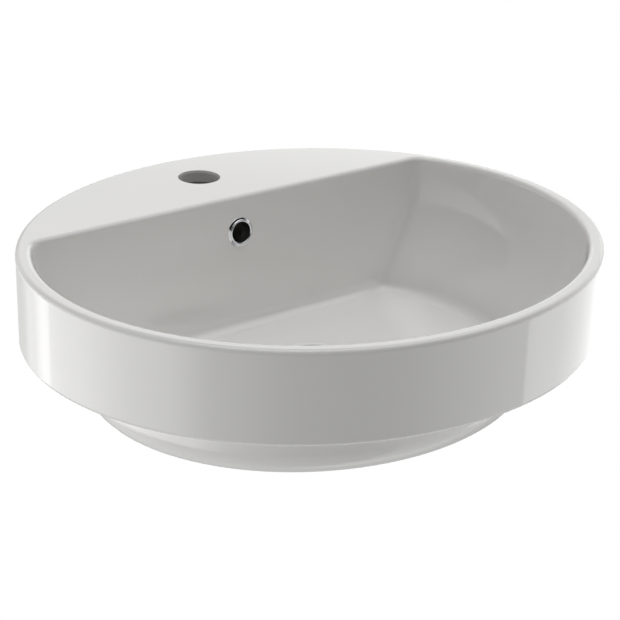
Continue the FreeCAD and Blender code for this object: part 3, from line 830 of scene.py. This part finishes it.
@dataclass(frozen=True)
class PlugCap:
    """Domed cap with a rolled edge, a skirt and a boss, turned about the outlet's axis."""

    finish: Finish = CHROME
    axis_y: float = -0.005
    foot: float = -0.0364
    radius: float = 0.0305
    edge: float = 0.0014
    crown: float = 0.0042
    crown_start: float = 0.985
    crown_power: float = 2.2
    skirt: float = 0.0176
    skirt_thick: float = 0.0018
    skirt_tall: float = 0.007
    boss: float = 0.0075
    boss_long: float = 0.0066
    socket: float = 0.00405
    socket_top: float = -0.0006

    def outline(self, boss_long: float) -> np.ndarray:
        """Crown z = edge + (crown - edge) (1 - (r / R)^power), then the underside.

        Args:
            boss_long: length of the boss below the cap.

        Returns:
            The closed outline.
        """
        share = np.linspace(self.crown_start, 0.0, 28)
        rise = self.edge + (self.crown - self.edge) * (1 - share ** self.crown_power)
        half = self.edge / 2
        roll = arc((self.radius - half, half), (half, half), -90, 60, 11)
        inner = self.skirt - self.skirt_thick
        below = np.array([
            (0.0, self.socket_top),
            (self.socket, self.socket_top),
            (self.socket, -boss_long),
            (self.boss, -boss_long),
            (self.boss, 0.0),
            (inner, 0.0),
            (inner, -self.skirt_tall),
            (self.skirt, -self.skirt_tall),
            (self.skirt, 0.0),
        ])
        return np.concatenate([roll, np.column_stack([self.radius * share, rise]), below])

    def build(self, material: bpy.types.Material) -> bpy.types.Object:
        """Make the cap, whose boss ends no lower than the CAD cap's.

        Args:
            material: its finish, ready to be put on the mesh.

        Returns:
            The cap, in place of the CAD cap.
        """
        low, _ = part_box("plug_cap")
        outline = self.outline(min(self.foot - low.z, self.boss_long))
        sheet = turned(outline, origin=(0.0, self.axis_y, self.foot))
        return adopt(build_mesh("plug_cap_shell", [sheet], material), "plug_cap", "plug")


@dataclass(frozen=True)
class WasteBody:
    """Flanged tube with two overflow slots, a bridge for the cartridge and a real helical thread."""

    finish: Finish = CHROME
    axis_y: float = -0.005
    top: float = -0.0378
    foot: float = -0.1078
    bore: float = 0.0184
    tail: float = 0.02095
    flange: float = 0.0315
    flange_thick: float = 0.0022
    bevel: float = 0.00065
    mouth: float = 0.027
    throat: float = 0.0202
    throat_fall: float = 0.0014
    throat_deep: float = 0.004
    neck: float = 0.001
    slot_half: float = 0.014
    slot_top: float = -0.054
    slot_foot: float = -0.066
    thread_top: float = -0.0748
    pitch: float = 0.0024
    depth: float = 0.0009
    valley_width: float = 1.6
    valley_slope: float = 4.4
    chamfer: float = 0.6
    rows_a_turn: int = 14
    hub_top: float = -0.0738
    hub_tall: float = 0.006
    hub: float = 0.007
    hub_bore: float = 0.0041
    spoke: float = 0.004
    spoke_share: float = 0.7
    lap: float = 0.0005
    slot_lap: float = 0.0003

    def flange_outline(self) -> np.ndarray:
        """Dished flange on the upper tube, down to the slots.

        Returns:
            The closed outline.
        """
        under = self.top - self.flange_thick
        b = self.bevel
        return np.concatenate([
            [(self.bore, self.slot_top), (self.bore, self.top - self.throat_deep),
             (self.throat, self.top - self.throat_fall), (self.mouth, self.top)],
            arc((self.flange - b, self.top - b), (b, b), 90, 0, 6),
            arc((self.flange - b, under + b), (b, b), 0, -90, 6),
            [(self.tail + self.neck, under), (self.tail, under - self.neck), (self.tail, self.slot_top)],
        ])

    def thread(self) -> Sheet:
        """Lower tube, whose radius is tail - depth * valley(z / pitch - t / 2 pi).

        The valley is a rounded V, and it fades out over one pitch at the top of the thread. The foot
        is chamfered over a share of a pitch.

        Returns:
            The closed grid.
        """
        columns = 160
        t = np.linspace(0.0, 2 * math.pi, columns, endpoint=False)
        rows = round((self.slot_foot - self.foot) / self.pitch * self.rows_a_turn)
        z = np.linspace(self.slot_foot, self.foot, rows)
        phase = (z[:, None] / self.pitch - t[None, :] / (2 * math.pi)) % 1.0
        valley = np.clip(self.valley_width - np.abs(phase - 0.5) * self.valley_slope, 0.0, 1.0)
        valley = valley * valley * (3 - 2 * valley)
        start = np.clip((self.thread_top - z[:, None]) / self.pitch, 0.0, 1.0)
        chamfer = np.clip(1.0 - (z[:, None] - self.foot) / (self.chamfer * self.pitch), 0.0, 1.0)
        outer = self.tail - self.depth * np.maximum(valley * start, chamfer)
        levels = np.concatenate([z, [self.foot, self.slot_foot]])
        radii = np.concatenate([outer, np.full((2, columns), self.bore)])
        grid = np.stack([
            radii * np.cos(t),
            radii * np.sin(t) + self.axis_y,
            np.broadcast_to(levels[:, None], radii.shape),
        ], -1)
        return Sheet(grid, wrap_rows=True)

    def slot_wall(self, side: int) -> Sheet:
        """Wall that is left between the two slots on one side.

        Args:
            side: 1 for +X, -1 for -X.

        Returns:
            The closed grid; its ends lie inside the tubes above and below.
        """
        u = np.linspace(-1.0, 1.0, 25)
        out = u * math.acos(self.slot_half / self.tail)
        back = -u * math.acos(self.slot_half / self.bore)
        ring = np.concatenate([
            np.stack([side * self.tail * np.cos(out), self.tail * np.sin(out) + self.axis_y], -1),
            np.stack([side * self.bore * np.cos(back), self.bore * np.sin(back) + self.axis_y], -1),
        ])
        middle = np.broadcast_to(ring.mean(0), ring.shape)
        top, foot = self.slot_top + self.slot_lap, self.slot_foot - self.slot_lap
        rows = ((middle, top), (ring, top), (ring, foot), (middle, foot))
        return Sheet(np.stack([np.column_stack([xy, np.full(len(xy), z)]) for xy, z in rows]))

    def spoke_bar(self, turn: float) -> Sheet:
        """One bar from the hub to the tube.

        Args:
            turn: direction of the bar in radians.

        Returns:
            The closed grid.
        """
        half, low = self.spoke / 2, self.hub_top - self.hub_tall
        high = low + self.hub_tall * self.spoke_share
        corners = np.array([(-half, low), (half, low), (half, high), (-half, high)])
        near, far = self.hub - self.lap, self.bore + self.lap
        ends = ((near, True), (near, False), (far, False), (far, True))
        along = np.array([math.cos(turn), math.sin(turn), 0.0])
        across = np.array([-math.sin(turn), math.cos(turn), 0.0])
        up = np.array(AXES[2])
        rows = []
        for reach, closed in ends:
            cross = np.broadcast_to(corners.mean(0), corners.shape) if closed else corners
            rows.append(reach * along + cross[:, :1] * across + cross[:, 1:] * up + (0.0, self.axis_y, 0.0))
        return Sheet(np.stack(rows))

    def build(self, material: bpy.types.Material) -> bpy.types.Object:
        """Make the waste body.

        Args:
            material: its finish, ready to be put on the mesh.

        Returns:
            The body, in place of the CAD body.
        """
        centre = (0.0, self.axis_y, 0.0)
        hub = np.array([
            (self.hub_bore, self.hub_top),
            (self.hub, self.hub_top),
            (self.hub, self.hub_top - self.hub_tall),
            (self.hub_bore, self.hub_top - self.hub_tall),
        ])
        sheets = [
            turned(self.flange_outline(), origin=centre),
            self.thread(),
            turned(hub, origin=centre, columns=64),
            *(self.slot_wall(side) for side in (1, -1)),
            *(self.spoke_bar(quarter * math.pi / 2) for quarter in range(4)),
        ]
        return adopt(build_mesh("waste_body_shell", sheets, material), "waste_body", "basin")


@dataclass(frozen=True)
class CadPiece:
    """A piece that keeps its CAD mesh and takes a finish."""

    node: str
    finish: Finish

    def build(self, material: bpy.types.Material) -> bpy.types.Object:
        """Dress the node.

        Args:
            material: its finish, ready to be put on the mesh.

        Returns:
            The node's object.
        """
        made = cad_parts[self.node]
        made.data.materials.clear()
        made.data.materials.append(material)
        return made


# ------------------------------------------------------------------------------------- camera
@dataclass(frozen=True)
class Shot:
    """The photographer's view, solved from the rim, the deck's edge and the lower body."""

    place: Point = (-0.7439, -0.9537, 0.5247)
    azimuth: float = -37.954
    elevation: float = 20.604
    aim_right: float = -0.001883
    aim_up: float = -0.05854
    aim_level: float = 0.070
    roll: float = 1.64
    lens: float = 98.405
    sensor: float = 36.0

    def matrix(self) -> Matrix:
        """Place and turn of the camera.

        The camera looks from its place at T = right * aim_right + up * aim_up + (0, 0, aim_level),
        with right and up square to the azimuth and elevation, and is rolled about its own axis.

        Returns:
            The camera's world matrix.
        """
        a, e, roll = (math.radians(x) for x in (self.azimuth, self.elevation, self.roll))
        up = Vector(AXES[2])
        back = Vector((math.sin(a) * math.cos(e), -math.cos(a) * math.cos(e), math.sin(e)))
        right = Vector((math.cos(a), math.sin(a), 0.0))
        target = right * self.aim_right + back.cross(right) * self.aim_up + up * self.aim_level
        look = (target - Vector(self.place)).normalized()
        side = look.cross(up).normalized()
        top = side.cross(look)
        turned_side = side * math.cos(roll) + top * math.sin(roll)
        turned_top = top * math.cos(roll) - side * math.sin(roll)
        rows = [(turned_side[i], turned_top[i], -look[i], self.place[i]) for i in range(3)]
        return Matrix((*rows, (0.0, 0.0, 0.0, 1.0)))

    def build(self) -> bpy.types.Object:
        """Make the camera and use it.

        Returns:
            The camera.
        """
        data = bpy.data.cameras.new("shot")
        data.lens = self.lens
        data.sensor_width = self.sensor
        data.clip_start = 0.05
        data.clip_end = 20.0
        camera = bpy.data.objects.new("shot", data)
        bpy.context.scene.collection.objects.link(camera)
        camera.matrix_world = self.matrix()
        bpy.context.scene.camera = camera
        return camera


# -------------------------------------------------------------------------------------- lights
@dataclass(frozen=True)
class Panel:
    """One upright panel of a ring.

    It starts at an azimuth in degrees, fades in over the blend on both sides of it, and shines with
    its level until the next panel. Azimuth 0 is in front of the basin, 90 at its right, 180 behind.
    """

    start: float
    level: float
    blend: float = 15.0


@dataclass(frozen=True)
class Ring:
    """Panels side by side round the basin, between two heights, which are sines of the elevation."""

    low: float
    high: float
    panels: tuple[Panel, ...]
    fade: float = 0.04

    def level(self, turn: Value, height: Value) -> Value:
        """Brightness in a direction: the steps from panel to panel, times the steps up.

        Args:
            turn: the direction's azimuth in degrees, from -30 to 330.
            height: sine of its elevation.

        Returns:
            The brightness.
        """
        around: Value | float = self.panels[0].level
        for before, panel in zip(self.panels, self.panels[1:]):
            step = turn.step(panel.start - panel.blend, panel.start + panel.blend)
            around = around + step * (panel.level - before.level)
        rise = height.step(self.low - self.fade, self.low + self.fade)
        return around * (rise - height.step(self.high - self.fade, self.high + self.fade))


@dataclass(frozen=True)
class Studio:
    """White sweep behind and below the basin, soft light above and at its ends, and a dim front.

    The camera sees no panel, only their mirror images in the glaze. The levels weren't chosen by
    hand: a least-squares fit to the photo's brightness gave them, and they were adjusted after it.
    """

    ground: Ring = Ring(
        -1.10,
        -0.55,
        (Panel(-30, 0.47), Panel(20, 1.05, 1), Panel(80, 0.42), Panel(200, 0.57, 60), Panel(300, 0.47, 25)),
    )
    table: Ring = Ring(
        -0.55,
        -0.12,
        (
            Panel(-30, 0.22), Panel(0, 0.40, 12), Panel(16, 0.90, 12), Panel(34, 1.20, 10),
            Panel(58.1, 1.95, 0.8), Panel(70, 1.60, 8), Panel(85, 1.50, 12), Panel(112, 1.45, 1.5),
            Panel(140, 1.20, 8), Panel(158, 0.70, 1.5), Panel(183, 1.25, 8), Panel(198, 2.50, 7),
            Panel(208.4, 1.95, 0.8), Panel(225, 2.35, 12), Panel(255, 2.02, 14), Panel(287, 0.62, 14),
            Panel(315, 0.22, 14),
        ),
    )
    horizon: Ring = Ring(
        -0.12,
        0.30,
        (
            Panel(-30, 0.0), Panel(30, 0.38), Panel(60, 0.96), Panel(90, 0.95), Panel(120, 1.20),
            Panel(150, 0.50), Panel(180, 0.62), Panel(210, 1.15), Panel(240, 0.82), Panel(270, 0.65),
            Panel(300, 0.10, 14), Panel(318, 0.0, 10),
        ),
    )
    window: Ring = Ring(0.28, 0.70, (Panel(-30, 0.0), Panel(90, 1.10, 28), Panel(180, 0.0, 28)), 0.08)
    shoulder: Ring = Ring(
        0.70,
        0.92,
        (
            Panel(-30, 0.55), Panel(0, 0.86), Panel(60, 1.38, 20), Panel(120, 0.58, 20),
            Panel(180, 0.32, 20), Panel(240, 0.50, 20), Panel(300, 0.55, 20),
        ),
        0.06,
    )
    ceiling: Ring = Ring(0.92, 1.20, (Panel(-30, 1.85),))

    def build(self) -> None:
        """Make the world: white for the camera, and the rings for everything else."""
        world = bpy.data.worlds.new("studio")
        bpy.context.scene.world = world
        world.use_nodes = True
        graph = Graph(world.node_tree)
        right, behind, height = graph.parts(graph.node("ShaderNodeTexCoord").outputs["Generated"])
        turn = right.heading(0.0 - behind)
        rings = (self.ground, self.table, self.horizon, self.window, self.shoulder, self.ceiling)
        level = sum(ring.level(turn, height) for ring in rings)
        white = (1.0, 1.0, 1.0)
        soft = graph.node("ShaderNodeBackground", inputs={"Color": white, "Strength": level})
        plain = graph.node("ShaderNodeBackground", inputs={"Color": white, "Strength": 1.0})
        seen = graph.node("ShaderNodeLightPath").outputs["Is Camera Ray"]
        both = graph.node("ShaderNodeMixShader", inputs={0: seen, 1: soft.outputs[0], 2: plain.outputs[0]})
        graph.node("ShaderNodeOutputWorld", inputs={"Surface": both.outputs[0]})


# ------------------------------------------------------------------------------------ assembly
PIECES: tuple[CadPiece | Overflow | PlugCap | WasteBody, ...] = (
    CadPiece("basin_body", CHINA),
    Overflow(),
    CadPiece("overflow_sleeve", DARK),
    PlugCap(),
    CadPiece("plug_ring", RUBBER),
    WasteBody(),
    CadPiece("flange_seal", RUBBER),
    CadPiece("outlet_washer", RUBBER),
    CadPiece("slip_washer", SLIP),
    CadPiece("backnut", BRASS),
    CadPiece("cartridge_core", BRASS),
    CadPiece("stud_locknut", BRASS),
    CadPiece("cam_rotor", ACETAL),
    CadPiece("cartridge_sleeve", ACETAL),
    CadPiece("retaining_clip", STEEL),
    CadPiece("cartridge_spring", STEEL),
)


def main() -> None:
    """Build the looks."""
    logging.basicConfig(level=logging.INFO, format="%(message)s")
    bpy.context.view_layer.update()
    bpy.context.scene.view_settings.view_transform = "Standard"
    materials = {finish: finish.build() for finish in dict.fromkeys(piece.finish for piece in PIECES)}
    for piece in PIECES:
        made = piece.build(materials[piece.finish])
        LOG.info("%s: %d faces in %s", made.name, len(made.data.polygons), piece.finish.name)
    Shot().build()
    Studio().build()


if __name__ == "__main__":
    main()
